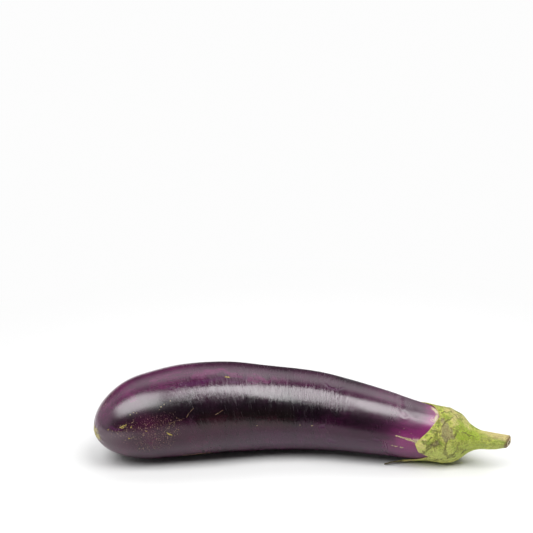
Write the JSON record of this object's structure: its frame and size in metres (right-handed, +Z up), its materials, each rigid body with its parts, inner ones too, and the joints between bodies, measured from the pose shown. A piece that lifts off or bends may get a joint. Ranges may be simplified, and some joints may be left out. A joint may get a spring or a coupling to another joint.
{
  "type": "eggplant",
  "caption": "Long slim purple eggplant with a gentle bend, a green lobed calyx hugging its neck and a short cut stem, lying on its side.",
  "frame": {"origin": "middle of the bounding box, on the surface that the eggplant lies on", "axes": "+X from the blossom end to the cut stem, +Y to the convex side of the bend, +Z up"},
  "size_m": [0.2322, 0.0598, 0.0519],
  "materials": {
    "skin": "glossy waxy skin, deep purple, speckled near the blossom end",
    "calyx": "dull green, ribbed, with russet netting and dried edges"
  },
  "bodies": {
    "root": {"fruit": "skin", "calyx_and_stem": "calyx"}
  },
  "joints": []
}
